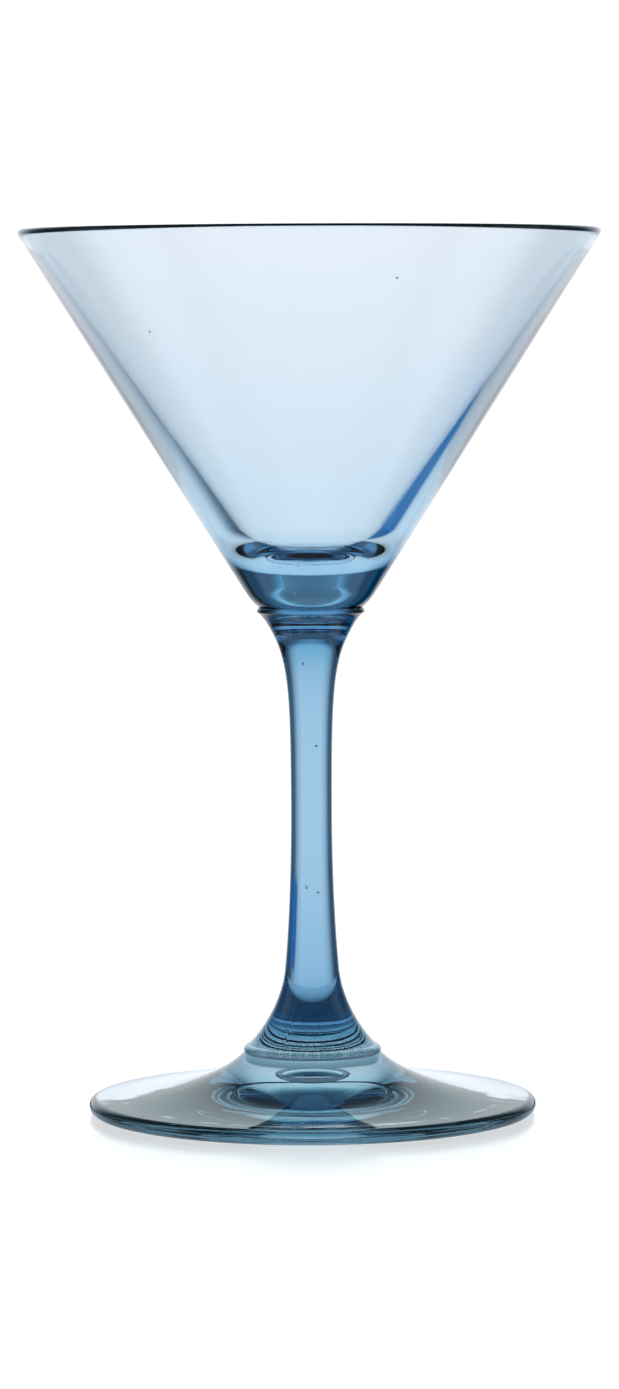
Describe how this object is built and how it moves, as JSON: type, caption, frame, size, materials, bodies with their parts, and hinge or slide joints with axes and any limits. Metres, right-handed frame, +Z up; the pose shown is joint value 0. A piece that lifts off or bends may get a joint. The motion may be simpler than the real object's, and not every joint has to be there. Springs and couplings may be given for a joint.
{
  "type": "martini glass",
  "caption": "Stemmed cocktail glass in blue-tinted glass: a wide conical bowl with a thick bottom on a slim stem, with a collar and a round foot.",
  "frame": {"origin": "centre of the foot, on the surface that the glass stands on", "axes": "+Z up along the axis of the glass; the glass is the same all round, so X and Y are free"},
  "size_m": [0.116, 0.116, 0.177],
  "materials": {
    "bowl_glass": "clear, pale blue tint, fire-polished, with a few tiny bubbles",
    "stem_glass": "clear, blue tint, fire-polished, with a faint mould seam",
    "foot_glass": "clear, blue tint, smooth, with a rounded edge"
  },
  "bodies": {
    "root": {"bowl": "bowl_glass", "stem_head": "stem_glass", "stem": "stem_glass", "foot_collar": "foot_glass", "foot": "foot_glass"}
  },
  "joints": []
}
